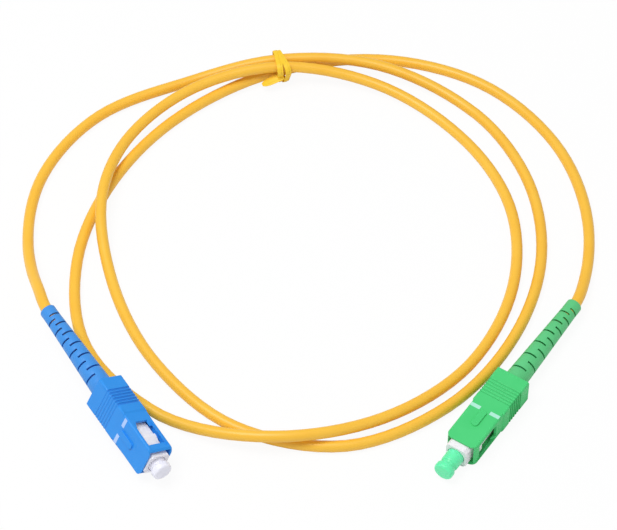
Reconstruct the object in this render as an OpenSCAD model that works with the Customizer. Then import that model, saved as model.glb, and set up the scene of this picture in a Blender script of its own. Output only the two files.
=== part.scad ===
// Fibre optic patch cord with an SC plug at each end.
// Millimetres. The origin lies on the table, under the middle of the two plugs, with +Z up.
// Each plug is drawn along +X, with 0 at the rear of its grip in the middle of the grip's slide,
// and is then laid in its place.

/* [Cable] */
// Outside diameter of the cable jacket
jacket_d = 3; // [2.8:0.1:3.2]
// Diameter of the buffered fibre inside the cable
buffer_d = 0.9; // [0.6:0.1:0.9]
// Thickness of the yarn layer that the crimp ring holds
yarn_t = 0.13; // [0.1:0.01:0.2]

/* [Twist tie] */
// Width of the flat tie
tie_w = 1.7; // [1.5:0.1:2.2]
// Thickness of the flat tie
tie_t = 0.45; // [0.3:0.05:0.6]
// Length of the twisted ends
tie_tail_l = 6.5; // [5:0.5:8]
// Width of the twisted ends
tie_tail_w = 2.6; // [1.8:0.1:3]

/* [Grip] */
// Length of the outer grip
grip_l = 26; // [25:0.5:28]
// Width of the grip across its latch windows
grip_w = 9; // [8.8:0.1:9.4]
// Width of the grip's rear part, which the fingers hold
grip_rear_w = 9.6; // [9.4:0.1:10]
// Length of the grip's rear part
grip_rear_l = 12; // [11:0.5:13]
// Height of the grip across its key faces
grip_h = 7.4; // [7.2:0.1:7.8]
// Wall of the two sides that carry the latch windows
side_wall = 0.75; // [0.6:0.05:0.8]
// Wall of the two key faces
key_wall = 0.45; // [0.35:0.05:0.5]
// Rounding of the long edges
edge_r = 0.6; // [0.4:0.1:0.8]
// Rounding of the corners at the nose
nose_corner_r = 2; // [1.5:0.1:2.5]
// Number of finger grooves on each face
groove_count = 6; // [4:1:7]
// Distance from one finger groove to the next
groove_pitch = 0.97; // [0.9:0.01:1.05]
// Distance from the rear to the first finger groove
groove_start = 4.3; // [4:0.1:5]
// Depth of the grooves in the window sides
groove_depth = 0.35; // [0.2:0.05:0.4]
// Depth of the grooves in the key faces
fine_groove_depth = 0.12; // [0.05:0.01:0.2]
// Length of a latch window
window_l = 6.2; // [5.5:0.1:6.6]
// Height of a latch window
window_h = 5.6; // [5:0.1:5.8]
// Distance from the nose of the grip to a latch window
window_from_nose = 2.7; // [2.4:0.1:3]
// Length of the narrow step behind a latch window
window_step_l = 1.6; // [1:0.1:2]
// Height of the narrow step behind a latch window
window_step_h = 3.8; // [3:0.1:4.5]
// Depth of the recess between a latch window and the nose
bar_recess = 0.25; // [0.1:0.05:0.3]
// Length of the polarity key
key_l = 5.3; // [4.5:0.1:6]
// Width of the polarity key
key_w = 1.9; // [1.6:0.1:2.2]
// Height of the polarity key
key_h = 0.45; // [0.3:0.05:0.6]
// Distance from the nose of the grip to the polarity key
key_from_nose = 6.1; // [5.5:0.1:7]
// How far ahead of its middle place the flat-polished plug's grip rests
upc_grip_ahead = 0.8; // [-0.8:0.1:0.8]
// How far ahead of its middle place the angled plug's grip rests
apc_grip_ahead = -0.7; // [-0.8:0.1:0.8]

/* [Plug frame] */
// How far the frame stands out of the grip in its middle place
frame_out = 1.2; // [0.8:0.1:1.6]
// Width of the frame's nose between the latch sides
nose_w = 5.9; // [5.8:0.1:6.2]
// Chamfer along the nose's four edges
nose_chamfer = 0.8; // [0.4:0.1:0.9]
// Length of the wider rear part that guides the grip
guide_l = 6.5; // [5:0.1:8]
// Diameter of the bore round the ferrule
nose_bore_d = 4.9; // [4.7:0.1:5.1]
// Depth of the bore round the ferrule
nose_bore_l = 5.45; // [5.25:0.05:6]
// Thickness of the web that the ferrule passes through
web_t = 0.9; // [0.6:0.1:1.2]
// Diameter of the bore that holds the spring
spring_bore_d = 5; // [4.8:0.1:5.2]
// How far the latch ramps stand out of the nose
latch_h = 0.65; // [0.4:0.05:0.7]
// Height of the latch ramps between the key faces
latch_w = 4.4; // [3.6:0.1:4.6]
// Distance from the frame's nose to the steep side of the latch ramps
latch_from_nose = 6.9; // [6.5:0.1:7.2]

/* [Ferrule and spring] */
// Diameter of the ferrule
ferrule_d = 2.5; // [2.4:0.05:2.6]
// Length of the ferrule
ferrule_l = 10.5; // [10:0.1:11]
// How far the ferrule stands out of the frame
ferrule_out = 1.6; // [1:0.1:1.9]
// Angle of the polished end of the angled ferrule, in degrees
apc_angle = 8; // [6:1:10]
// Length of the flange's collar
collar_l = 2.2; // [1.8:0.1:2.5]
// Length of the flange's stem
stem_l = 4; // [3:0.1:4.5]
// Diameter of the flange's stem
stem_d = 2.8; // [2.4:0.1:3]
// How far the ferrule can be pushed back
ferrule_travel = 2; // [1:0.1:2]
// Wire diameter of the spring
wire_d = 0.5; // [0.4:0.05:0.6]
// Turns of the spring
spring_turns = 5; // [4:1:6]

/* [Back post and crimp] */
// Length of the post's body inside the frame
post_l = 3; // [2.5:0.1:3.5]
// Thickness of the post's lip
post_lip_t = 0.8; // [0.6:0.1:1]
// Diameter of the post's tail
tail_d = 3.6; // [3.4:0.1:3.7]
// How far the tail reaches behind the grip
tail_back = 3.5; // [3:0.1:4]
// Wall of the guide tube
guide_tube_wall = 0.2; // [0.15:0.05:0.25]
// Wall of the crimp ring
crimp_wall = 0.3; // [0.25:0.05:0.35]
// How far the crimp ring reaches behind the grip
crimp_back = 8; // [7:0.5:9]
// How far the cable jacket stops behind the grip
jacket_back = 5; // [4.5:0.1:5.5]

/* [Boot] */
// Length of the flat-polished plug's boot behind the grip's middle place
upc_boot_l = 28.6; // [27:0.1:34]
// Length of the angled plug's boot behind the grip's middle place
apc_boot_l = 32.3; // [27:0.1:34]
// Length of the boot inside the grip
boot_in = 5; // [4:0.1:5.5]
// Diameter of the boot at its tip
boot_tip_d = 4.3; // [4.1:0.1:4.6]
// Length of the plain collar at the tip
boot_collar_l = 3.2; // [2.5:0.1:3.5]
// Length of the plain part between the grip and the last slots
boot_root_l = 3.7; // [3.5:0.1:4.5]
// Number of slotted stations along the boot
slot_count = 12; // [8:1:12]
// How much longer each next distance between stations is, as a share of the first one
slot_growth = 0.05; // [0:0.01:0.08]
// Width of a slot
slot_w = 0.5; // [0.3:0.05:0.6]
// Angle that a slot covers, in degrees
slot_angle = 104; // [70:1:110]
// Turn of the angled plug's boot about the plug's axis, in degrees
apc_boot_turn = 40; // [0:5:90]

/* [Dust cap] */
// Length of the cap
cap_l = 8.4; // [8:0.1:8.6]
// Length of the cap's head
cap_head_l = 2; // [1.6:0.1:2.4]
// Diameter of the cap's head
cap_head_d = 5.2; // [5.1:0.1:5.6]
// Length of the cap's waist
cap_waist_l = 1.2; // [1:0.1:1.6]
// Diameter of the cap's waist
cap_waist_d = 4.1; // [3.6:0.1:4.3]
// Thickness of the closed end
cap_end_t = 1.2; // [0.8:0.1:1.5]
// How far the cap of the flat-polished plug stands out of its frame
upc_cap_out = 3.2; // [3:0.1:6]
// How far the cap of the angled plug stands out of its frame
apc_cap_out = 6.4; // [6:0.1:7]

/* [Clearances] */
// Clearance each way between pieces that slide
slide_gap = 0.1; // [0.05:0.01:0.12]
// Clearance each way between a round piece and the hole that guides it
running_gap = 0.04; // [0.02:0.01:0.06]
// Clearance each way between pieces that are pressed, stacked or crimped together
press_gap = 0.02; // [0.01:0.01:0.03]
// Clearance between the tie and the cable
tie_gap = 0.23; // [0.2:0.01:0.3]

/* [Hidden] */
$fn = 64;
cut = 1;

// Where each plug lies: its own origin, and the turn from +X.
upc_at = [-54.05, -2.4, 7.5];
upc_turn = [64, 4, -57.1];
apc_at = [51.5, 1.3, grip_h / 2];
apc_turn = [0, 0, -124];

// Sections across a plug.
cavity_w = grip_w - 2 * side_wall;
cavity_h = grip_h - 2 * key_wall;
guide_w = cavity_w - 2 * slide_gap;
frame_h = cavity_h - 2 * slide_gap;
boot_base_d = frame_h - 2 * slide_gap;
web_bore_d = ferrule_d + 2 * running_gap;
collar_d = spring_bore_d - 2 * slide_gap;
stem_bore_d = buffer_d + 3 * slide_gap;
spring_mean_d = (collar_d + stem_d) / 2;
post_d = spring_bore_d - 2 * press_gap;
tube_bore_d = buffer_d + 2 * slide_gap;
tube_d = tube_bore_d + 2 * guide_tube_wall;
cable_sides = 8;
jacket_r = jacket_d / 2;
jacket_corner_r = jacket_r / cos(180 / cable_sides);
cable_hole_d = 2 * (jacket_corner_r + press_gap);
yarn_in_r = tail_d / 2 + press_gap;
yarn_out_r = yarn_in_r + yarn_t;
crimp_bore_r = yarn_out_r + press_gap;
crimp_r = crimp_bore_r + crimp_wall;
cap_barrel_d = nose_bore_d - 2 * slide_gap;
cap_bore_d = ferrule_d + 2 * running_gap;

// Stations along a plug, from its rear to its nose.
lip_x = boot_in + press_gap;
frame_x = lip_x + post_lip_t + press_gap;
post_x = frame_x + post_l;
nose_x = grip_l + frame_out;
web_x = nose_x - nose_bore_l;
collar_x = web_x - web_t - running_gap - collar_l;
stem_x = collar_x - stem_l;
tip_x = nose_x + ferrule_out;
tube_end_x = stem_x - ferrule_travel - 3 * slide_gap;
buffer_end_x = tip_x - ferrule_l - ferrule_travel - 3 * slide_gap;
window_x = grip_l - window_from_nose - window_l;
grip_front_x = grip_rear_l + grip_rear_w - grip_w;

// Length of cable that each boot's tip holds straight, which ends just past the boot.
hold_l = 6;
past_l = 0.5;

// Points that the cable passes, from the flat-polished plug to the angled one.
// Three passes lie side by side at the tie, and where two strands cross the upper one is lifted.
LOOP = [
    [-72.5, 30, 7.8], [-75, 39.5, 4.6], [-77, 49.5, 2.6], [-74.5, 76, 1.5], [-60, 98.5, 1.5],
    [-36.5, 111.5, 2], [-10.5, 117.2, 6.4], [19, 115.5, 4.8], [44, 102, 1.5], [59, 76.5, 1.5],
    [62, 47, 1.5], [53.5, 19.5, 1.5], [35, -4, 1.5], [8.5, -16.5, 1.5], [-20, -10.5, 1.5],
    [-41, 10, 1.5], [-53.5, 37, 1.5], [-57.5, 66, 5.6], [-50.5, 89, 4.6], [-33.5, 106, 5.4],
    [-10.5, 113.2, 6.5], [18, 109.5, 3.4], [41.5, 91, 1.5], [54, 65, 1.5], [53.5, 36, 1.5],
    [41, 9.5, 1.5], [18, -9, 3.4], [-10, -16.5, 5.8], [-39, -7, 1.5], [-59.5, 15.5, 1.5],
    [-63.5, 45.5, 1.5], [-55, 74.5, 1.5], [-37, 99, 1.5], [-11, 115, 2.4], [19, 121, 1.5],
    [48, 111.5, 1.5], [68, 88.5, 1.5], [75.5, 59.5, 1.5], [73, 38, 2.2]];
ring_step = 14.5;

// The back of the tie's two loops, where they cross, how far each leans from there, and the
// depth and height of each pass that they hold. The lowest pass slants, so it counts twice.
tie_at = [-10.4, 120.2];
tie_leans = [10, 22];
TIE_PASSES = [[117.5, 6.3], [112.8, 6.2], [115.1, 2.4], [116, 2.4]];
tie_tail_at = [-7.7, 112.1, 3];
tie_tail_turn = [0, -92, 13];
tie_tail_twist = 80;

// Directions, curves and swept tubes.
function unit(v) = v / norm(v);
function axis_of(turn) = [cos(turn.z) * cos(turn.y), sin(turn.z) * cos(turn.y), -sin(turn.y)];
function along(at, turn, x) = at + x * axis_of(turn);
function heading(p, i) =
    i == 0 ? unit(p[1] - p[0]) :
    i == len(p) - 1 ? unit(p[i] - p[i - 1]) :
    let (a = norm(p[i] - p[i - 1]), b = norm(p[i + 1] - p[i]))
    (unit(p[i + 1] - p[i]) * a + unit(p[i] - p[i - 1]) * b) / (a + b);
function bend(p, i, a) =
    let (d = norm(p[i + 1] - p[i]))
    (2 * pow(a, 3) - 3 * pow(a, 2) + 1) * p[i]
    + (pow(a, 3) - 2 * pow(a, 2) + a) * d * heading(p, i)
    + (3 * pow(a, 2) - 2 * pow(a, 3)) * p[i + 1]
    + (pow(a, 3) - pow(a, 2)) * d * heading(p, i + 1);
function steps(p, i, step) = max(1, round(norm(p[i + 1] - p[i]) / step));
function curve(p, step) = concat(
    [for (i = [0:len(p) - 2]) let (n = steps(p, i, step)) for (k = [0:n - 1]) bend(p, i, k / n)],
    [p[len(p) - 1]]);
function rest_on_table(p, r) = [for (q = p) [q.x, q.y, max(q.z, r)]];
function ring(p, t, r, sides) =
    let (side = unit(cross([0, 0, 1], t)), up = cross(t, side))
    [for (k = [0:sides - 1]) let (a = 360 * (k + 0.5) / sides) p + r * (cos(a) * side + sin(a) * up)];

module swept_tube(path, r, sides) {
    last = (len(path) - 1) * sides;
    points = [for (i = [0:len(path) - 1]) each ring(path[i], heading(path, i), r, sides)];
    walls = [for (i = [0:len(path) - 2], k = [0:sides - 1])
        let (a = i * sides + k, b = i * sides + (k + 1) % sides)
        each [[a, a + sides, b + sides], [a, b + sides, b]]];
    ends = [for (k = [1:sides - 2]) each [[0, k, k + 1], [last, last + k + 1, last + k]]];
    polyhedron(points, concat(walls, ends), convexity = 10);
}

// Distance from a point to a straight piece, and the least gap of a tube to itself, for strands
// that are at least four pieces apart along it.
function to_piece(p, a, b) =
    let (t = max(0, min(1, ((p - a) * (b - a)) / ((b - a) * (b - a)))))
    norm(p - a - t * (b - a));
function least_gap(p, d) = min([for (i = [0:len(p) - 6], k = [0:4])
    let (q = p[i] + (p[i + 1] - p[i]) * k / 5)
    for (j = [i + 4:len(p) - 2]) to_piece(q, p[j], p[j + 1])]) - d;

ROUTE = concat(
    [for (x = [-jacket_back, hold_l - upc_boot_l, -past_l - upc_boot_l]) along(upc_at, upc_turn, x)],
    LOOP,
    [for (x = [-past_l - apc_boot_l, hold_l - apc_boot_l, -jacket_back]) along(apc_at, apc_turn, x)]);

module at_upc() {
    translate(upc_at) rotate(upc_turn) children();
}

module at_apc() {
    translate(apc_at) rotate(apc_turn) children();
}

// A solid of revolution about the plug's axis, from a half section given as [radius, station].
module turned(section) {
    rotate([0, 90, 0]) rotate_extrude() polygon(section);
}

module rod(x, l, d) {
    translate([x, 0, 0]) rotate([0, 90, 0]) cylinder(h = l, d = d);
}

module round_rect(w, h, r) {
    square([w - 2 * r, h], center = true);
    square([w, h - 2 * r], center = true);
    for (sx = [-1, 1], sy = [-1, 1]) translate([sx * (w / 2 - r), sy * (h / 2 - r)]) circle(r);
}

// A bar along the plug's axis, w wide in Y and h high in Z.
module bar(x, l, w, h) {
    translate([x, -w / 2, -h / 2]) cube([l, w, h]);
}

// Grip: a sleeve that slides on the plug frame and frees the latches as it is pulled back.
module grip_outline() {
    hw = grip_w / 2;
    rear_hw = grip_rear_w / 2;
    r = nose_corner_r;
    polygon([[-cut, -rear_hw], [grip_rear_l, -rear_hw], [grip_front_x, -hw], [grip_l - r, -hw],
        [grip_l - r, hw], [grip_front_x, hw], [grip_rear_l, rear_hw], [-cut, rear_hw]]);
    translate([0, -hw + r]) square([grip_l, grip_w - 2 * r]);
    for (s = [-1, 1]) translate([grip_l - r, s * (hw - r)]) circle(r);
}

// The grip's full sections, which are wider behind its slanted shoulders.
module grip_sections() {
    rotate([90, 0, 90]) linear_extrude(grip_front_x) round_rect(grip_rear_w, grip_h, edge_r);
    rotate([90, 0, 90]) linear_extrude(grip_l) round_rect(grip_w, grip_h, edge_r);
}

module grip_windows() {
    step_x = window_x - window_step_l;
    bar(window_x, window_l, grip_w + 2 * cut, window_h);
    bar(step_x, window_step_l + cut, grip_w + 2 * cut, window_step_h);
    for (s = [0, 1]) mirror([0, s, 0]) translate([0, 0, -window_h / 2]) {
        linear_extrude(window_h) polygon([
            [window_x + cut, cavity_w / 2],
            [window_x, cavity_w / 2],
            [step_x, grip_w / 2 + press_gap],
            [window_x + cut, grip_w / 2 + press_gap]]);
        translate([window_x + cut, grip_w / 2 - bar_recess, 0]) cube([grip_l, cut, window_h]);
    }
}

module grip_grooves() {
    fine_r = 0.3;
    for (i = [0:groove_count - 1], s = [-1, 1]) translate([groove_start + i * groove_pitch, 0, 0]) {
        translate([0, s * grip_rear_w / 2, 0])
            cylinder(h = grip_h + 2 * cut, r = groove_depth, center = true);
        translate([0, 0, s * (grip_h / 2 + fine_r - fine_groove_depth)]) rotate([90, 0, 0])
            cylinder(h = grip_rear_w + 2 * cut, r = fine_r, center = true);
    }
}

module grip() {
    difference() {
        union() {
            intersection() {
                grip_sections();
                linear_extrude(grip_h + 2 * cut, center = true) grip_outline();
            }
            polarity_key();
        }
        bar(-cut, grip_l + 2 * cut, cavity_w, cavity_h);
        grip_windows();
        grip_grooves();
    }
}

module polarity_key() {
    front = grip_l - key_from_nose;
    root = key_wall / 2;
    translate([0, 0, grip_h / 2 - root]) linear_extrude(key_h + root) {
        translate([front - key_l, -key_w / 2]) square([key_l - key_w / 2, key_w]);
        translate([front - key_w / 2, 0]) circle(d = key_w);
    }
}

// Plug frame: the part that an adapter's hooks hold, bored for the ferrule and its spring.
module frame_section() {
    hw = nose_w / 2;
    hh = frame_h / 2;
    c = nose_chamfer;
    polygon([[hw, -hh + c], [hw, hh - c], [hw - c, hh], [-hw + c, hh],
        [-hw, hh - c], [-hw, -hh + c], [-hw + c, -hh], [hw - c, -hh]]);
}

module latch_ramps() {
    back = nose_x - latch_from_nose;
    hw = nose_w / 2;
    crest_l = 0.8;
    slope_l = 2.3;
    for (s = [0, 1]) mirror([0, s, 0]) translate([0, 0, -latch_w / 2]) linear_extrude(latch_w)
        polygon([[back, hw - 0.1], [back, hw + latch_h], [back + crest_l, hw + latch_h],
            [back + crest_l + slope_l, hw - 0.1]]);
}

module plug_frame() {
    difference() {
        union() {
            translate([frame_x, 0, 0]) rotate([90, 0, 90])
                linear_extrude(nose_x - frame_x) frame_section();
            translate([frame_x, 0, 0]) rotate([90, 0, 90])
                linear_extrude(guide_l) round_rect(guide_w, frame_h, edge_r);
            latch_ramps();
        }
        rod(frame_x - cut, web_x - web_t - frame_x + cut, spring_bore_d);
        rod(frame_x, nose_x - frame_x, web_bore_d);
        rod(web_x, nose_bore_l + cut, nose_bore_d);
    }
}

// Ferrule: a ceramic rod, ground flat or at an angle at its tip.
module ferrule(angle) {
    r = ferrule_d / 2;
    c = 0.3;
    rear = tip_x - ferrule_l;
    difference() {
        turned([[0, rear], [r - c, rear], [r, rear + c], [r, tip_x - c], [r - c, tip_x], [0, tip_x]]);
        if (angle > 0) translate([tip_x - r * tan(angle) / 2, 0, 0]) rotate([0, -angle, 0])
            translate([0, -ferrule_d, -ferrule_d]) cube(2 * ferrule_d);
    }
}

// Flange: a metal collar pressed on the ferrule, with tuning slots and a stem inside the spring.
module ferrule_flange() {
    slot = 0.8;
    difference() {
        union() {
            rod(collar_x, collar_l, collar_d);
            rod(stem_x, stem_l + cut / 2, stem_d);
        }
        rod(tip_x - ferrule_l - press_gap, ferrule_l, ferrule_d + 2 * press_gap);
        rod(stem_x - cut, ferrule_l, stem_bore_d);
        for (a = [0:90:270]) rotate([a, 0, 0])
            translate([collar_x + collar_l / 2, collar_d / 2 - slot / 2, -slot / 2])
            cube([collar_l, slot, slot]);
    }
}

// Spring: one round wire wound round the stem, between the back post and the collar.
module spring() {
    turn_steps = 8;
    free_r = wire_d / 2 + running_gap;
    l = collar_x - post_x - 2 * free_r;
    n = spring_turns * turn_steps;
    path = [for (i = [0:n]) let (a = 360 * i / turn_steps)
        [spring_mean_d / 2 * cos(a), spring_mean_d / 2 * sin(a), l * i / n]];
    translate([post_x + free_r, 0, 0]) rotate([0, 90, 0]) swept_tube(path, wire_d / 2, 6);
}

// Guide tube: keeps the buffered fibre clear of the spring.
module guide_tube() {
    start = -tail_back + slide_gap;
    difference() {
        rod(start, tube_end_x - start, tube_d);
        rod(start - cut, tube_end_x - start + 2 * cut, tube_bore_d);
    }
}

// Back post: pressed into the rear of the frame; the yarn is crimped on its grooved tail.
module back_post() {
    r = tail_d / 2;
    groove = 0.15;
    lip_r = frame_h / 2 - slide_gap;
    bore_r = tube_d / 2 + press_gap;
    difference() {
        turned(concat(
            [[bore_r, -tail_back], [r - groove, -tail_back]],
            [for (i = [0:3]) let (x = -tail_back + 0.5 + i) each
                [[r, x], [r, x + 0.5], [r - groove, x + 0.6], [r - groove, x + 0.9]]],
            [[r, 1], [r, lip_x], [lip_r, lip_x], [lip_r, lip_x + post_lip_t],
                [post_d / 2, lip_x + post_lip_t], [post_d / 2, post_x - groove],
                [post_d / 2 - groove, post_x], [bore_r, post_x]]));
        rod(-tail_back - cut, post_x + tail_back + 2 * cut, 2 * bore_r);
    }
}

// Yarn: the cable's strength fibres, spread over the post's tail.
module aramid_yarn() {
    back = -jacket_back + press_gap;
    tail = -tail_back - press_gap;
    inner = tube_bore_d / 2 + slide_gap;
    end = 0.8;
    turned([[inner, back], [jacket_r, back], [yarn_out_r, back + 0.9], [yarn_out_r, end],
        [yarn_in_r, end], [yarn_in_r, tail], [inner, tail]]);
}

// Crimp ring: its wide front holds the yarn and its narrow rear holds the jacket.
module crimp_ring() {
    step = -jacket_back;
    front = 1;
    rear_r = cable_hole_d / 2;
    turned([[rear_r, -crimp_back], [rear_r + crimp_wall, -crimp_back], [rear_r + crimp_wall, step - 0.4],
        [crimp_r, step + 0.4], [crimp_r, front], [crimp_bore_r, front], [crimp_bore_r, step],
        [rear_r, step]]);
}

module fiber_buffer() {
    rod(-jacket_back + press_gap, buffer_end_x + jacket_back - press_gap, buffer_d);
}

// Boot: a soft tapered sleeve with staggered slots, so that it bends evenly with the cable.
function slot_share(k) = k + slot_growth * k * (k - 1) / 2;
function slot_x(k, l, ahead) =
    let (first = boot_collar_l - l, last = ahead - boot_root_l)
    first + (last - first) * slot_share(k) / slot_share(slot_count - 1);

module boot(l, ahead) {
    tip_r = boot_tip_d / 2;
    base_r = boot_base_d / 2;
    hole_r = cable_hole_d / 2;
    wide_r = crimp_r + 2 * press_gap;
    wide_x = -crimp_back - slide_gap;
    lead = 0.35;
    difference() {
        turned([[hole_r, -l], [tip_r - lead, -l], [tip_r, -l + lead],
            [tip_r, -l + boot_collar_l], [base_r, -1], [base_r, boot_in],
            [wide_r, boot_in], [wide_r, wide_x], [hole_r, wide_x]]);
        for (k = [0:slot_count - 1], s = [0, 180]) rotate([s + 90 * (k % 2), 0, 0])
            slot_cutter(slot_x(k, l, ahead));
    }
}

module slot_cutter(x) {
    reach = boot_base_d;
    translate([x - slot_w / 2, 0, 0]) rotate([0, 90, 0]) rotate([0, 0, 90 - slot_angle / 2])
        rotate_extrude(angle = slot_angle) translate([jacket_r / 2, 0]) square([reach, slot_w]);
}

// Dust cap: a soft plug that pushes over the ferrule and into the frame's bore.
module dust_cap(out) {
    end = nose_x + out;
    head = end - cap_head_l;
    waist = head - cap_waist_l;
    rear = end - cap_l;
    hr = cap_head_d / 2;
    wr = cap_waist_d / 2;
    br = cap_barrel_d / 2;
    e = 0.6;
    arc = [for (a = [0:15:90]) [hr - e + e * cos(a), end - e + e * sin(a)]];
    difference() {
        turned(concat([[0, rear], [br - 0.2, rear], [br, rear + 0.2], [br, waist - 0.2],
            [wr, waist], [wr, head], [hr - 0.3, head], [hr, head + 0.3]], arc, [[0, end]]));
        rod(rear - cut, cap_l - cap_end_t + cut, cap_bore_d);
    }
}

// Cable: one unbroken tube from crimp to crimp.
module cable_jacket() {
    path = rest_on_table(curve(ROUTE, ring_step), jacket_r);
    echo(rings = len(path), least_gap = least_gap(path, 2 * jacket_corner_r));
    color("gold") swept_tube(path, jacket_corner_r, cable_sides);
}

// Twist tie: a flat strip wrapped twice round the passes, its ends twisted and laid aside.
module tie_loop(r, lean) {
    hull() for (p = TIE_PASSES) translate([(p.x - tie_at.y) / cos(lean), p.y]) circle(r, $fn = 32);
}

module twist_tie() {
    snug_r = jacket_corner_r + tie_gap;
    color("khaki") {
        for (lean = tie_leans) translate(tie_at) rotate([0, 0, lean]) rotate([90, 0, 90])
            linear_extrude(tie_w, center = true) difference() {
                tie_loop(snug_r + tie_t, lean);
                tie_loop(snug_r, lean);
            }
        translate(tie_tail_at) rotate(tie_tail_turn) rotate([0, 0, tie_tail_twist / 2 - 90])
            linear_extrude(tie_tail_l, twist = tie_tail_twist, slices = 8)
            square([tie_tail_w, 2 * tie_t], center = true);
    }
}

module upc_grip() {
    color("dodgerblue") at_upc() translate([upc_grip_ahead, 0, 0]) grip();
}

module upc_plug_frame() {
    color("ghostwhite") at_upc() plug_frame();
}

module upc_ferrule() {
    color("white") at_upc() ferrule(0);
}

module upc_ferrule_flange() {
    color("silver") at_upc() ferrule_flange();
}

module upc_spring() {
    color("slategray") at_upc() spring();
}

module upc_guide_tube() {
    color("whitesmoke") at_upc() guide_tube();
}

module upc_back_post() {
    color("silver") at_upc() back_post();
}

module upc_aramid_yarn() {
    color("khaki") at_upc() aramid_yarn();
}

module upc_crimp_ring() {
    color("darkgray") at_upc() crimp_ring();
}

module upc_fiber_buffer() {
    color("white") at_upc() fiber_buffer();
}

module upc_boot() {
    color("dodgerblue") at_upc() boot(upc_boot_l, upc_grip_ahead);
}

module upc_dust_cap() {
    color("lavender") at_upc() dust_cap(upc_cap_out);
}

module apc_grip() {
    color("mediumseagreen") at_apc() translate([apc_grip_ahead, 0, 0]) grip();
}

module apc_plug_frame() {
    color("ghostwhite") at_apc() plug_frame();
}

module apc_ferrule() {
    color("white") at_apc() ferrule(apc_angle);
}

module apc_ferrule_flange() {
    color("silver") at_apc() ferrule_flange();
}

module apc_spring() {
    color("slategray") at_apc() spring();
}

module apc_guide_tube() {
    color("whitesmoke") at_apc() guide_tube();
}

module apc_back_post() {
    color("silver") at_apc() back_post();
}

module apc_aramid_yarn() {
    color("khaki") at_apc() aramid_yarn();
}

module apc_crimp_ring() {
    color("darkgray") at_apc() crimp_ring();
}

module apc_fiber_buffer() {
    color("white") at_apc() fiber_buffer();
}

module apc_boot() {
    color("mediumseagreen") at_apc() rotate([apc_boot_turn, 0, 0])
        boot(apc_boot_l, apc_grip_ahead);
}

module apc_dust_cap() {
    color("aquamarine") at_apc() dust_cap(apc_cap_out);
}

cable_jacket();
twist_tie();
upc_grip();
upc_plug_frame();
upc_ferrule();
upc_ferrule_flange();
upc_spring();
upc_guide_tube();
upc_back_post();
upc_aramid_yarn();
upc_crimp_ring();
upc_fiber_buffer();
upc_boot();
upc_dust_cap();
apc_grip();
apc_plug_frame();
apc_ferrule();
apc_ferrule_flange();
apc_spring();
apc_guide_tube();
apc_back_post();
apc_aramid_yarn();
apc_crimp_ring();
apc_fiber_buffer();
apc_boot();
apc_dust_cap();
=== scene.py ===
from math import cos, pi, radians, sin, sqrt

import bmesh
import bpy
from mathutils import Matrix, Vector
from mathutils.bvhtree import BVHTree


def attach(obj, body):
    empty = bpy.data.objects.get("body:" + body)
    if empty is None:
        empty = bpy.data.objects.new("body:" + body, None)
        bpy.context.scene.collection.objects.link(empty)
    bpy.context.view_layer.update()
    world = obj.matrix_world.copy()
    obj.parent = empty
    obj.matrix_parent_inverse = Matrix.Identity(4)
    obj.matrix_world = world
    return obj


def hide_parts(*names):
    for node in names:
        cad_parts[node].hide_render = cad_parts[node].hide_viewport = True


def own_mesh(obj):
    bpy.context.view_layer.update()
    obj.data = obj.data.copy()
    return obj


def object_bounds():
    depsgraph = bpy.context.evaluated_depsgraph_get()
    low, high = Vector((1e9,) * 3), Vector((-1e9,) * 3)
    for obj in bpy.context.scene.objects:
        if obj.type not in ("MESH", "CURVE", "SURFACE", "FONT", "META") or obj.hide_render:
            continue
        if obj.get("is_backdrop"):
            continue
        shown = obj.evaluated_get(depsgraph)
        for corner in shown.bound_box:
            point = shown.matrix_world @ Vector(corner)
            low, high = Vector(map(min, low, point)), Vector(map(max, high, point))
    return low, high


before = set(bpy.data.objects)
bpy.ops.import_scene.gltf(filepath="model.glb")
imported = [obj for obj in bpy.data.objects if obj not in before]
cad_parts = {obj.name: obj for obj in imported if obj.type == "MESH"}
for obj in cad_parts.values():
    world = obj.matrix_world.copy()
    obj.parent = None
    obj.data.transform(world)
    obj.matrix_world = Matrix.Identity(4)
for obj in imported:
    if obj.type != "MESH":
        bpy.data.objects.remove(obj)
cad_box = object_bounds()


# --- Camera ---------------------------------------------------------------------------------
# A long lens looks down at fifty degrees on the whole loop, from the side of the two plugs.

aim = Vector((-0.00105, 0.045, 0))
camera_distance = 0.73045
camera_elevation = radians(50)
focal_pixels = 2700
image_width = 617
sensor_width = 36

camera = bpy.data.objects.new("camera", bpy.data.cameras.new("camera"))
camera.data.sensor_width = sensor_width
camera.data.lens = sensor_width * focal_pixels / image_width
camera.data.clip_start = 0.01
camera.location = aim + camera_distance * Vector(
    (0, -cos(camera_elevation), sin(camera_elevation)))
camera.rotation_euler = (pi / 2 - camera_elevation, 0, 0)
bpy.context.scene.collection.objects.link(camera)
bpy.context.scene.camera = camera


# --- Cable ----------------------------------------------------------------------------------
# Three millimetre round patch cable: a soft yellow PVC jacket, extruded over yarn and one fibre.
# It runs from crimp to crimp in loose loops, gathered at the tie, and rests on the table.

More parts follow.
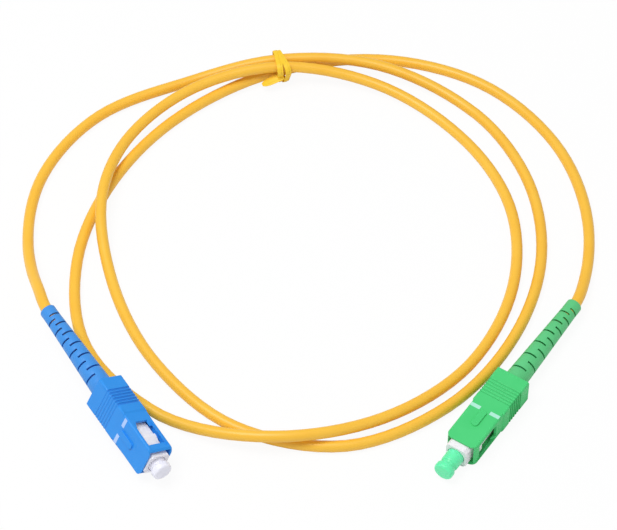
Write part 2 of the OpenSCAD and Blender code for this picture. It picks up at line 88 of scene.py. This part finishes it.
jacket_radius = 0.00154
jacket_end = 0.005
straight_in_boot = 0.006
straight_past_tip = 0.0005
plugs = {
    "upc": {
        "color": "blue", "boot_length": 0.0286,
        "place": (Matrix.Translation((-0.05405, -0.0024, 0.0075))
                  @ Matrix.Rotation(radians(-57.1), 4, "Z")
                  @ Matrix.Rotation(radians(4), 4, "Y")
                  @ Matrix.Rotation(radians(64), 4, "X"))},
    "apc": {
        "color": "green", "boot_length": 0.0323,
        "place": (Matrix.Translation((0.0515, 0.0013, 0.0037))
                  @ Matrix.Rotation(radians(-124), 4, "Z"))}}
loop = [
    (-0.0725, 0.03, 0.0078), (-0.0752, 0.0395, 0.0046), (-0.077, 0.0495, 0.0026),
    (-0.0748, 0.076, 0.0015), (-0.0602, 0.0988, 0.0015), (-0.0365, 0.1112, 0.002),
    (-0.0105, 0.1169, 0.0056), (0.019, 0.1155, 0.0048), (0.044, 0.102, 0.0015),
    (0.059, 0.0765, 0.0015), (0.062, 0.047, 0.0015), (0.0535, 0.0195, 0.0015),
    (0.035, -0.004, 0.0015), (0.0085, -0.0166, 0.0015), (-0.02, -0.0105, 0.0015),
    (-0.041, 0.01, 0.0015), (-0.0535, 0.037, 0.0015), (-0.0575, 0.066, 0.0056),
    (-0.0505, 0.089, 0.0046), (-0.0335, 0.106, 0.0054), (-0.0105, 0.1132, 0.0065),
    (0.018, 0.1095, 0.0034), (0.0415, 0.091, 0.0015), (0.0542, 0.065, 0.0015),
    (0.0537, 0.036, 0.0015), (0.041, 0.0095, 0.0015), (0.018, -0.0092, 0.0034),
    (-0.01, -0.0168, 0.0058), (-0.039, -0.007, 0.0015), (-0.0595, 0.0155, 0.0015),
    (-0.0635, 0.0455, 0.0015), (-0.055, 0.0745, 0.0015), (-0.037, 0.099, 0.0015),
    (-0.011, 0.115, 0.0024), (0.019, 0.121, 0.0015), (0.048, 0.1115, 0.0015),
    (0.0679, 0.0885, 0.0015), (0.0753, 0.0595, 0.0015), (0.073, 0.038, 0.0022)]


def through_boot(plug):
    """The points that the cable passes from its crimp to just past the tip of its boot."""
    tip = -plug["boot_length"]
    return [plug["place"] @ Vector((x, 0, 0))
            for x in (-jacket_end, tip + straight_in_boot, tip - straight_past_tip)]


route = (through_boot(plugs["upc"]) + [Vector(point) for point in loop]
         + through_boot(plugs["apc"])[::-1])


def heading(points, i):
    """The direction of the curve at a point, weighted towards its nearer neighbour."""
    if i == 0:
        return (points[1] - points[0]).normalized()
    if i == len(points) - 1:
        return (points[i] - points[i - 1]).normalized()
    back = points[i] - points[i - 1]
    ahead = points[i + 1] - points[i]
    return ((ahead.normalized() * back.length + back.normalized() * ahead.length)
            / (back.length + ahead.length))


def laid(point):
    """A point no lower than the middle of a cable that rests on the table."""
    return Vector((point.x, point.y, max(point.z, jacket_radius)))


line = bpy.data.curves.new("cable", "CURVE")
line.dimensions = "3D"
line.bevel_depth = jacket_radius
line.bevel_resolution = 5
line.resolution_u = line.render_resolution_u = 8
line.use_fill_caps = True
spline = line.splines.new("BEZIER")
spline.bezier_points.add(len(route) - 1)
for i, knot in enumerate(spline.bezier_points):
    # Each handle reaches a third of the way to the next point.
    way = heading(route, i) / 3
    back = (route[i] - route[i - 1]).length if i else 0
    ahead = (route[i + 1] - route[i]).length if i < len(route) - 1 else 0
    knot.handle_left_type = knot.handle_right_type = "FREE"
    knot.co = laid(route[i])
    knot.handle_left = laid(route[i] - way * back)
    knot.handle_right = laid(route[i] + way * ahead)
cable = bpy.data.objects.new("cable", line)
bpy.context.scene.collection.objects.link(cable)


class Value:
    """One output of a material's node, which takes arithmetic and adds the Math nodes for it."""

    def __init__(self, paint, socket):
        self.paint = paint
        self.socket = socket

    def math(self, operation, first, second):
        return self.paint.node("ShaderNodeMath", {"operation": operation}, {0: first, 1: second})

    def __add__(self, other):
        return self.math("ADD", self, other)

    def __radd__(self, other):
        return self.math("ADD", other, self)

    def __sub__(self, other):
        return self.math("SUBTRACT", self, other)

    def __rsub__(self, other):
        return self.math("SUBTRACT", other, self)

    def __mul__(self, other):
        return self.math("MULTIPLY", self, other)

    def __rmul__(self, other):
        return self.math("MULTIPLY", other, self)

    def __truediv__(self, other):
        return self.math("DIVIDE", self, other)

    def __pow__(self, other):
        return self.math("POWER", self, other)

    def __abs__(self):
        return self.math("ABSOLUTE", self, 0)

    def least(self, other):
        return self.math("MINIMUM", self, other)

    def clamped(self):
        return self.paint.node("ShaderNodeClamp", {}, {"Value": self})


class Paint:
    """A material with one Principled shader, whose sockets take numbers, colours or Values."""

    def __init__(self, name, **constants):
        self.material = bpy.data.materials.new(name)
        self.material.use_nodes = True
        self.tree = self.material.node_tree
        self.sockets = {socket.name.lower().replace(" ", "_"): socket
                        for socket in self.tree.nodes["Principled BSDF"].inputs}
        self.set(**constants)

    def set(self, **values):
        for name, value in values.items():
            self.connect(self.sockets[name], value)

    def connect(self, socket, value):
        if isinstance(value, Value):
            self.tree.links.new(value.socket, socket)
        elif socket.type == "RGBA" and len(value) == 3:
            socket.default_value = (*value, 1)
        else:
            socket.default_value = value

    def node(self, kind, settings, inputs, output=0):
        """Adds a node with its settings and inputs, and gives one of its outputs."""
        made = self.tree.nodes.new(kind)
        for name, value in settings.items():
            setattr(made, name, value)
        for name, value in inputs.items():
            self.connect(made.inputs[name], value)
        return Value(self, made.outputs[output])

    def place(self):
        return self.node("ShaderNodeTexCoord", {}, {}, "Object")

    def noise(self, scale, detail=2):
        return self.node("ShaderNodeTexNoise", {}, {
            "Vector": self.place(), "Scale": scale, "Detail": detail})

    def seated(self, place):
        """X, Y and Z along and across a piece that lies at a place."""
        local = self.node("ShaderNodeMapping", {"vector_type": "TEXTURE"}, {
            "Vector": self.place(), "Location": tuple(place.translation),
            "Rotation": tuple(place.to_euler())})
        return [self.node("ShaderNodeSeparateXYZ", {}, {"Vector": local}, i) for i in range(3)]

    def blend(self, factor, first, second):
        return self.node("ShaderNodeMix", {"data_type": "RGBA"}, {
            0: factor, 6: first, 7: second}, 2)

    def bump(self, height, distance):
        self.set(normal=self.node("ShaderNodeBump", {}, {
            "Height": height, "Distance": distance, "Strength": 1}))


def rgb(red, green, blue):
    """The linear colour of an sRGB one given in 255ths."""
    return tuple((c / 255 / 12.92) if c < 11 else ((c / 255 + 0.055) / 1.055) ** 2.4
                 for c in (red, green, blue))


jacket = Paint("yellow_jacket", roughness=0.38, specular_ior_level=0.45)
mottle = jacket.noise(160, detail=3)
jacket.set(base_color=jacket.blend(mottle, rgb(246, 185, 51), rgb(249, 197, 66)))
jacket.bump(jacket.noise(900), 0.00002)
cable.data.materials.append(jacket.material)

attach(cable, "cord")
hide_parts("cable_jacket")


# --- Twist tie ------------------------------------------------------------------------------
# A flat plastic strip with a thin wire along its middle. It is wrapped twice round the three
# passes of the cable, and its two ends are twisted together and laid along them.

tie_back = Vector((-0.01065, 0.1202, 0))
tie_leans = (radians(10), radians(23))
tie_passes = [(0.1175, 0.0058), (0.1128, 0.0062), (0.1143, 0.0024), (0.116, 0.0024)]
tie_steps = 48
tie_width = 0.0017
tie_film = 0.0002
tie_wire = 0.00042
ridge_foot = tie_width / 5
ridge_top = tie_width / 10
tie_gap = 0.00023
tie_slack = 1.05
tail_start = Vector((-0.0083, 0.112, 0.0042))
tail_turn = Matrix.Rotation(radians(19), 4, "Z") @ Matrix.Rotation(radians(-105), 4, "Y")
tail_length = 0.0065
tail_steps = 24
tail_start_angle = radians(-118)
tail_twist = radians(20)
tail_taper_from = 0.55
tail_taper = 0.85
tail_root_spread = 0.2
tail_splay = 0.1
tail_layer = 0.8 * tie_film
weld = 1e-7


def sweep(form, section, places, closed=False):
    """Extrudes a section from place to place, and joins its ends or fills them."""
    ring = [form.verts.new(places[0] @ point) for point in section]
    first = [form.edges.new((ring[i - 1], ring[i])) for i in range(len(ring))]
    edges = first
    for before, after in zip(places, places[1:]):
        made = bmesh.ops.extrude_edge_only(form, edges=edges)["geom"]
        fresh = {item for item in made if isinstance(item, bmesh.types.BMVert)}
        edges = [item for item in made
                 if isinstance(item, bmesh.types.BMEdge) and set(item.verts) <= fresh]
        bmesh.ops.transform(form, matrix=after @ before.inverted(), verts=list(fresh))
    if closed:
        bmesh.ops.bridge_loops(form, edges=first + edges)
    else:
        for end in (first, edges):
            bmesh.ops.edgeloop_fill(form, edges=end)


def add_piece(name, form, body, nodes, paint, sharp=30):
    """Makes a finished bmesh a piece of the object, in place of its CAD nodes."""
    bmesh.ops.remove_doubles(form, verts=form.verts, dist=weld)
    bmesh.ops.recalc_face_normals(form, faces=form.faces)
    mesh = bpy.data.meshes.new(name)
    form.to_mesh(mesh)
    form.free()
    mesh.shade_smooth()
    mesh.set_sharp_from_angle(angle=radians(sharp))
    mesh.materials.append(paint.material)
    piece = bpy.data.objects.new(name, mesh)
    bpy.context.scene.collection.objects.link(piece)
    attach(piece, body)
    if nodes:
        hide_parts(*nodes)
    return piece


def strip_section():
    """The outline of the strip, its width along X, thicker in the middle where its wire runs."""
    side = [(tie_width / 2, -tie_film / 2), (tie_width / 2, tie_film / 2),
            (ridge_foot, tie_film / 2), (ridge_top, tie_wire / 2)]
    return [Vector((x, y, 0)) for x, y in side] + [Vector((-x, -y, 0)) for x, y in side]


def tie_places(lean):
    """Places round the passes, on the rounded outline that the strip takes."""
    reach = jacket_radius * tie_slack + tie_gap + tie_wire / 2
    turn = Matrix.Translation(tie_back) @ Matrix.Rotation(lean, 4, "Z")
    centres = [Vector((0, (y - tie_back.y) / cos(lean), z)) for y, z in tie_passes]
    places = []
    for i in range(tie_steps):
        angle = 2 * pi * i / tie_steps
        out = Vector((0, cos(angle), sin(angle)))
        ahead = Vector((1, 0, 0)).cross(out)
        axes = Matrix((Vector((1, 0, 0)), out, ahead)).transposed().to_4x4()
        centre = max(centres, key=out.dot) + out * reach
        places.append(turn @ Matrix.Translation(centre) @ axes)
    return places


def tail_places(side):
    """Places along one of the two twisted ends, which narrow to a rounded point."""
    places = []
    for i in range(tail_steps + 1):
        share = i / tail_steps
        taper = max(0, share - tail_taper_from) / (1 - tail_taper_from)
        narrow = sqrt(1 - taper ** 2 * tail_taper)
        spread = tie_width * narrow * (tail_root_spread + tail_splay * share)
        places.append(Matrix.Translation(tail_start) @ tail_turn
                      @ Matrix.Translation((0, 0, tail_length * share))
                      @ Matrix.Rotation(tail_start_angle + tail_twist * share, 4, "Z")
                      @ Matrix.Translation((side * spread, side * tail_layer, 0))
                      @ Matrix.Diagonal((narrow, 1, 1, 1)))
    return places


form = bmesh.new()
for lean in tie_leans:
    sweep(form, strip_section(), tie_places(lean), closed=True)
for side in (-1, 1):
    sweep(form, strip_section(), tail_places(side))

film = Paint("yellow_film", roughness=0.5, specular_ior_level=0.4)
film.set(base_color=film.blend(film.noise(500), rgb(246, 200, 38), rgb(252, 210, 54)))
film.bump(film.noise(1500), 0.00003)
tie = add_piece("twist_tie_strip", form, "cord", ["twist_tie"], film)


# --- Grips ----------------------------------------------------------------------------------
# The outer sleeve of each plug, moulded in the colour of its polish: blue for flat, green for
# angled. It has finger grooves, a polarity key, two latch windows and two painted index marks.

edge_rounding = 0.00006
solid_weld = 1e-6
level = radians(0.5)
sharp_edge = radians(60)
key_face = 0.0037
grip_side = 0.0048
grip_ahead = {"upc": 0.0008, "apc": -0.0007}
groove_zone = (0.0038, 0.0097)
groove_shade = 0.00012
groove_shade_from = 0.2
groove_zone_edge = 0.0001
# Painted shade: the colours that the finger grooves are darkened to, below the grip's faces.
painted_groove_shade = {"blue": rgb(42, 130, 219), "green": rgb(58, 185, 104)}
mark_length = 0.0028
mark_width = 0.0011
mark_thickness = 0.00004
mark_from_rear = 0.014
mark_side = 0.00285
plastic_grain = 0.000012


def softened(node):
    """The mesh of a CAD node, merged into whole faces, with its sharp edges rounded.

    Where many edges meet, the rounding can throw a point out, which is laid back on the solid."""
    form = bmesh.new()
    form.from_mesh(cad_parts[node].data)
    solid = BVHTree.FromBMesh(form)
    bmesh.ops.remove_doubles(form, verts=form.verts, dist=solid_weld)
    bmesh.ops.dissolve_limit(form, angle_limit=level, verts=form.verts, edges=form.edges)
    edges = [edge for edge in form.edges
             if edge.is_manifold and edge.calc_face_angle() > sharp_edge]
    bmesh.ops.bevel(form, geom=edges, offset=edge_rounding, offset_type="OFFSET",
                    affect="EDGES", segments=2, profile=0.5, material=-1, clamp_overlap=False)
    for vert in form.verts:
        nearest, _, _, distance = solid.find_nearest(vert.co)
        if distance > edge_rounding / 2:
            vert.co = nearest
    return form


def even_faces(piece):
    """Shades a rounded piece so that its large faces look flat up to their rounded edges."""
    even = piece.modifiers.new("even_faces", "WEIGHTED_NORMAL")
    even.keep_sharp = True
    even.weight = 80


def moulded(name, low, high, roughness, gloss=0.3):
    """A moulded plastic: a slight mottle in its colour and a fine sparked grain."""
    paint = Paint(name, specular_ior_level=gloss)
    cloud = paint.noise(220, detail=4)
    paint.color = paint.blend(cloud, low, high)
    paint.set(base_color=paint.color, roughness=roughness + 0.1 * cloud)
    paint.bump(paint.noise(2600), plastic_grain)
    return paint


def shade_grooves(paint, place, ahead, shade_color):
    """Painted shade in the finger grooves, which lie below the faces of the grip's rear."""
    x, y, z = paint.seated(place)
    depth = (grip_side - abs(y)).least(key_face - abs(z))
    along = (x - ahead - groove_zone[0]).least(groove_zone[1] + ahead - x)
    shade_mask = ((depth / groove_shade - groove_shade_from).clamped()
              * (along / groove_zone_edge).clamped())
    paint.set(base_color=paint.blend(shade_mask, paint.color, shade_color))


grip_paints = {
    "blue": moulded("blue_grip", rgb(38, 140, 229), rgb(48, 150, 238), 0.34),
    "green": moulded("green_grip", rgb(72, 203, 118), rgb(84, 212, 129), 0.34, gloss=0.15)}
mark_paints = {
    "blue": moulded("pale_blue_mark", rgb(168, 200, 250), rgb(180, 208, 252), 0.4),
    "green": moulded("pale_green_mark", rgb(170, 232, 210), rgb(182, 238, 218), 0.4)}

for kind, plug in plugs.items():
    color = plug["color"]
    # Paints shade into the grip's finger grooves.
    shade_grooves(grip_paints[color], plug["place"], grip_ahead[kind], painted_groove_shade[color])
    sleeve = add_piece(f"{kind}_grip_sleeve", softened(f"{kind}_grip"), f"{kind}_grip_body",
                       [f"{kind}_grip"], grip_paints[color])
    even_faces(sleeve)
    form = bmesh.new()
    for side in (-1, 1):
        middle = (grip_ahead[kind] + mark_from_rear, side * mark_side, key_face)
        size = Matrix.Diagonal((mark_width, mark_length, mark_thickness, 1))
        bmesh.ops.create_cube(form, size=1, matrix=Matrix.Translation(middle) @ size)
    bmesh.ops.transform(form, matrix=plug["place"], verts=form.verts)
    add_piece(f"{kind}_index_marks", form, f"{kind}_grip_body", [],
              mark_paints[color])


# --- Plug frames ----------------------------------------------------------------------------
# The white inner frame, moulded with a latch ramp on each side and bored for the ferrule. The
# grip slides on it, and it shows at the nose and through the latch windows.

frame_paint = moulded("white_frame", rgb(238, 236, 243), rgb(247, 245, 250), 0.35)
frame_paint.set(subsurface_weight=0.3, subsurface_scale=0.001, subsurface_radius=(1, 1, 1))
for kind in plugs:
    inner = add_piece(f"{kind}_inner_frame", softened(f"{kind}_plug_frame"), "cord",
                      [f"{kind}_plug_frame"], frame_paint)
    even_faces(inner)


# --- Boots ----------------------------------------------------------------------------------
# A soft tapered sleeve behind each grip. Short slots, in pairs turned a quarter from station to
# station, let it bend evenly, and the cable shows through those near the tip.

boot_tip_radius = 0.00215
boot_base_radius = 0.00305
boot_hole_radius = 0.00165
boot_wall = boot_base_radius - boot_hole_radius
boot_collar = 0.0032
boot_root = 0.0037
boot_taper_end = -0.001
boot_front = (0.002, 0.005)
boot_lip = 0.00035
boot_lip_steps = 4
boot_edge = 0.00005
boot_sharp = 50
boot_steps = 90
boot_roll = {"upc": 0, "apc": radians(20)}
slot_count = 12
slot_growth = 0.05
slot_width = 0.0005
slot_angle = radians(112)
slot_shade = 0.0001
slot_shade_from = 0.4
# Painted shade: the colours that the slots' walls are darkened to, below the boot's outer face.
painted_slot_shade = {"blue": rgb(38, 112, 206), "green": rgb(36, 150, 80)}


def turned(outline, steps):
    """A round form about X, turned from the points of its outline."""
    form = bmesh.new()
    verts = [form.verts.new((x, 0, radius)) for x, radius in outline]
    edges = [form.edges.new(pair) for pair in zip(verts, verts[1:])]
    bmesh.ops.spin(form, geom=verts + edges, cent=(0, 0, 0), axis=(1, 0, 0), dvec=(0, 0, 0),
                   angle=2 * pi, steps=steps, use_merge=True, use_duplicate=False)
    bmesh.ops.remove_doubles(form, verts=form.verts, dist=weld)
    return form


def slot_stations(length, ahead):
    """Where the slots lie, a little farther apart from each pair to the next."""
    shares = [k + slot_growth * k * (k - 1) / 2 for k in range(slot_count)]
    first, last = boot_collar - length, ahead - boot_root
    return [first + (last - first) * share / shares[-1] for share in shares]


def in_slot(face, stations):
    """Whether a face of the sleeve is cut away by the slot at its station."""
    middle = face.calc_center_median()
    k = min(range(slot_count), key=lambda k: abs(stations[k] - middle.x))
    off = abs(middle.z if k % 2 else middle.y) / middle.yz.length
    return abs(stations[k] - middle.x) < slot_width / 2 and off > cos(slot_angle / 2)


def boot_form(length, ahead):
    """The boot's outer skin: a rounded lip and a taper, with its slots cut out."""
    start = boot_collar - length
    stations = slot_stations(length, ahead)
    turns = [pi / 2 * i / boot_lip_steps for i in range(boot_lip_steps + 1)]
    outline = [(boot_lip * (1 - cos(a)) - length, boot_tip_radius - boot_lip * (1 - sin(a)))
               for a in turns]
    sides = [x + side * slot_width / 2 for x in stations for side in (-1, 1)]
    for x in (start - slot_width, *sides, boot_taper_end, *boot_front):
        share = min(1, max(0, (x - start) / (boot_taper_end - start)))
        outline.append((x, boot_tip_radius + (boot_base_radius - boot_tip_radius) * share))
    form = turned(outline, boot_steps)
    slots = [face for face in form.faces if in_slot(face, stations)]
    bmesh.ops.delete(form, geom=slots, context="FACES")
    bmesh.ops.recalc_face_normals(form, faces=form.faces)
    return form


def shade_slots(paint, place, length, shade_color):
    """Painted shade on the slots' walls and within them, which lie below the boot's outer face."""
    x, y, z = paint.seated(place)
    start = boot_collar - length
    share = ((x - start) / (boot_taper_end - start)).clamped()
    skin = boot_tip_radius + (boot_base_radius - boot_tip_radius) * share
    depth = skin - (y * y + z * z) ** 0.5
    shade_mask = (depth / slot_shade - slot_shade_from).clamped()
    paint.set(base_color=paint.blend(shade_mask, paint.color, shade_color))


def thicken(boot, place):
    """Gives the skin a wall that reaches the cable everywhere, and rounds its edges a little."""
    thickness = boot.vertex_groups.new(name="thickness")
    for vert in boot.data.vertices:
        radius = (place.inverted() @ vert.co).yz.length
        thickness.add([vert.index], (radius - boot_hole_radius) / boot_wall, "REPLACE")
    wall = boot.modifiers.new("wall", "SOLIDIFY")
    wall.thickness = boot_wall
    wall.vertex_group = thickness.name
    wall.offset = -1
    edge = boot.modifiers.new("edges", "BEVEL")
    edge.width = boot_edge
    edge.segments = 2
    edge.limit_method = "ANGLE"
    edge.angle_limit = radians(boot_sharp)


boot_paints = {
    "blue": moulded("blue_boot", rgb(60, 142, 222), rgb(72, 152, 232), 0.42),
    "green": moulded("green_boot", rgb(88, 195, 122), rgb(100, 205, 136), 0.42)}
for kind, plug in plugs.items():
    color, length = plug["color"], plug["boot_length"]
    form = boot_form(length, grip_ahead[kind])
    roll = Matrix.Rotation(boot_roll[kind], 4, "X")
    bmesh.ops.transform(form, matrix=plug["place"] @ roll, verts=form.verts)
    # Paints shade onto the walls of the boot's slots.
    shade_slots(boot_paints[color], plug["place"], length, painted_slot_shade[color])
    boot = add_piece(f"{kind}_slotted_boot", form, "cord", [f"{kind}_boot"],
                     boot_paints[color], sharp=boot_sharp)
    thicken(boot, plug["place"])


# --- Dust caps ------------------------------------------------------------------------------
# A soft translucent cap on each ferrule, turned in shape: a barrel that fits the frame's bore, a
# waist and a rounded head to pull it by. The blue plug's cap is pushed in to its head.

nose = 0.0272
cap_length = 0.0084
cap_head = 0.002
cap_waist = 0.0012
cap_taper = 0.0004
cap_end = 0.0012
cap_steps = 64
cap_radii = {"barrel": 0.00236, "waist": 0.002, "head": 0.0026, "bore": 0.00129}
cap_roundings = {"tip": 0.0006, "head": 0.0004, "waist_front": 0.00018, "waist_rear": 0.0003,
                 "barrel_front": 0.0003, "barrel_rear": 0.0002}
rim_angle = radians(30)
rim_match = 1e-6
cap_out = {"upc": 0.0032, "apc": 0.0064}


def cap_rim(form, x, radius):
    """The sharp edges of a cap that run round it at one place."""
    return [edge for edge in form.edges if edge.calc_face_angle(0) > rim_angle and all(
        abs(vert.co.x - x) < rim_match and abs(vert.co.yz.length - radius) < rim_match
        for vert in edge.verts)]


def cap_form(out):
    """A cap that stands out of its frame by a length, with every rim but the bore's rounded."""
    tip = nose + out
    head = tip - cap_head
    waist = head - cap_waist
    rear = tip - cap_length
    r = cap_radii
    form = turned([
        (tip - cap_end, 0), (tip - cap_end, r["bore"]), (rear, r["bore"]), (rear, r["barrel"]),
        (waist, r["barrel"]), (waist + cap_taper, r["waist"]), (head, r["waist"]),
        (head, r["head"]), (tip, r["head"]), (tip, 0)], cap_steps)
    bmesh.ops.recalc_face_normals(form, faces=form.faces)
    rims = {
        "tip": (tip, r["head"]), "head": (head, r["head"]), "waist_front": (head, r["waist"]),
        "barrel_front": (waist, r["barrel"]), "waist_rear": (waist + cap_taper, r["waist"]),
        "barrel_rear": (rear, r["barrel"])}
    for name, (x, radius) in rims.items():
        bmesh.ops.bevel(form, geom=cap_rim(form, x, radius), offset=cap_roundings[name],
                        offset_type="OFFSET", affect="EDGES", segments=5, profile=0.5,
                        material=-1)
    return form


def soft_plastic(name, low, high):
    """A soft milky plastic that light enters a little."""
    paint = Paint(name, roughness=0.34, subsurface_weight=0.35, subsurface_scale=0.0015,
                  subsurface_radius=(1, 1, 1))
    paint.set(base_color=paint.blend(paint.noise(300, detail=3), low, high))
    paint.bump(paint.noise(1400), 0.00002)
    return paint


cap_paints = {
    "blue": soft_plastic("milky_cap", rgb(232, 232, 251), rgb(242, 242, 255)),
    "green": soft_plastic("mint_cap", rgb(96, 240, 170), rgb(116, 248, 188))}
for kind, plug in plugs.items():
    form = cap_form(cap_out[kind])
    bmesh.ops.transform(form, matrix=plug["place"], verts=form.verts)
    add_piece(f"{kind}_ferrule_cap", form, f"{kind}_cap_body", [f"{kind}_dust_cap"],
              cap_paints[plug["color"]])


# --- Ferrules and inner pieces --------------------------------------------------------------
# The ceramic ferrule with its metal flange, the wire spring and guide tube behind it, and the
# post, yarn and crimp ring that hold the cable. The spring shortens as the ferrule is pushed back.

spring_rear = 0.00888
spring_front = 0.01857
spring_radius = 0.0019
spring_turns = 5
spring_steps = 32
wire_radius = 0.00025
wire_sides = 12


def turned_metal(name, low, high, roughness):
    """A bare metal with fine streaks, which change its colour and its roughness."""
    paint = Paint(name, metallic=1)
    streak = paint.noise(1800, detail=3)
    paint.set(base_color=paint.blend(streak, low, high), roughness=roughness + 0.15 * streak)
    return paint


def coil_places():
    """Places along the spring's wire, from its rear end to its front end."""
    rear, front = spring_rear + wire_radius, spring_front - wire_radius
    rise = (front - rear) / (2 * pi * spring_turns * spring_radius)
    places = []
    for i in range(spring_turns * spring_steps + 1):
        angle = 2 * pi * i / spring_steps
        x = rear + (front - rear) * i / (spring_turns * spring_steps)
        out = Vector((0, sin(angle), -cos(angle)))
        ahead = Vector((rise, cos(angle), sin(angle))).normalized()
        axes = Matrix((out, ahead.cross(out), ahead)).transposed().to_4x4()
        places.append(Matrix.Translation(Vector((x, 0, 0)) + out * spring_radius) @ axes)
    return places


zirconia = Paint("zirconia", roughness=0.12, specular_ior_level=0.7)
zirconia.set(base_color=zirconia.blend(
    zirconia.noise(800), rgb(240, 240, 236), rgb(250, 250, 248)))
nickel = turned_metal("nickel", rgb(186, 186, 190), rgb(214, 214, 216), 0.22)
spring_wire = turned_metal("spring_wire", rgb(150, 152, 158), rgb(186, 188, 192), 0.25)
crimp_alloy = turned_metal("crimp_alloy", rgb(170, 172, 176), rgb(202, 204, 206), 0.35)
tube_film = moulded("tube_film", rgb(226, 232, 236), rgb(238, 242, 244), 0.2)
buffer_coat = moulded("buffer_coat", rgb(240, 240, 240), rgb(250, 250, 250), 0.3)
yarn_fibre = Paint("yarn_fibre", roughness=0.7)
strand = yarn_fibre.noise(2400, detail=4)
yarn_fibre.set(base_color=yarn_fibre.blend(strand, rgb(206, 178, 84), rgb(240, 216, 130)))
yarn_fibre.bump(strand, 0.00005)
inner_paints = {
    "ferrule": zirconia, "ferrule_flange": nickel, "guide_tube": tube_film, "back_post": nickel,
    "aramid_yarn": yarn_fibre, "crimp_ring": crimp_alloy, "fiber_buffer": buffer_coat}

for kind, plug in plugs.items():
    for part, paint in inner_paints.items():
        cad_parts[f"{kind}_{part}"].material_slots[0].material = paint.material
    form = bmesh.new()
    angles = [2 * pi * i / wire_sides for i in range(wire_sides)]
    round_wire = [Vector((cos(a), sin(a), 0)) * wire_radius for a in angles]
    sweep(form, round_wire, coil_places())
    bmesh.ops.transform(form, matrix=plug["place"], verts=form.verts)
    spring = add_piece(f"{kind}_coil_spring", form, "cord", [f"{kind}_spring"],
                       spring_wire, sharp=50)
    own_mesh(spring)


# --- Table and light ------------------------------------------------------------------------
# A plain white table under soft, even studio light, brighter from the upper left.

table_size = 3
table_glow = 0.93
room_light = 0.5

table_top = bpy.data.meshes.new("table")
form = bmesh.new()
bmesh.ops.create_grid(form, x_segments=1, y_segments=1, size=table_size / 2)
form.to_mesh(table_top)
form.free()
table = bpy.data.objects.new("table", table_top)
bpy.context.scene.collection.objects.link(table)

white = Paint("white_table", base_color=(0.9, 0.9, 0.9), roughness=1, specular_ior_level=0)
lit = Value(white, white.tree.nodes["Principled BSDF"].outputs[0])
glow = white.node("ShaderNodeEmission", {}, {})
seen = white.node("ShaderNodeLightPath", {}, {}, "Is Camera Ray")
mixed = white.node("ShaderNodeMixShader", {}, {0: table_glow * seen, 1: lit, 2: glow})
white.connect(white.tree.nodes["Material Output"].inputs["Surface"], mixed)
table.data.materials.append(white.material)
table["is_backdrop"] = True


def lamp(name, place, size, power):
    """A round soft lamp that is turned to the middle of the loop."""
    light = bpy.data.lights.new(name, "AREA")
    light.shape = "DISK"
    light.size = size
    light.energy = power
    made = bpy.data.objects.new(name, light)
    made.location = aim + Vector(place)
    made.rotation_euler = (-Vector(place)).to_track_quat("-Z", "Y").to_euler()
    bpy.context.scene.collection.objects.link(made)


lamp("key", (-0.27, -0.09, 0.85), size=0.5, power=5)
lamp("fill", (0.6, -0.5, 0.6), size=0.6, power=0.4)
world = bpy.data.worlds.new("studio")
world.use_nodes = True
world.node_tree.nodes["Background"].inputs["Color"].default_value = (1, 1, 1, 1)
world.node_tree.nodes["Background"].inputs["Strength"].default_value = room_light
bpy.context.scene.world = world
bpy.context.scene.view_settings.view_transform = "Standard"

size = {"cad": [list(corner) for corner in cad_box], "visual": [list(corner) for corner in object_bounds()]}
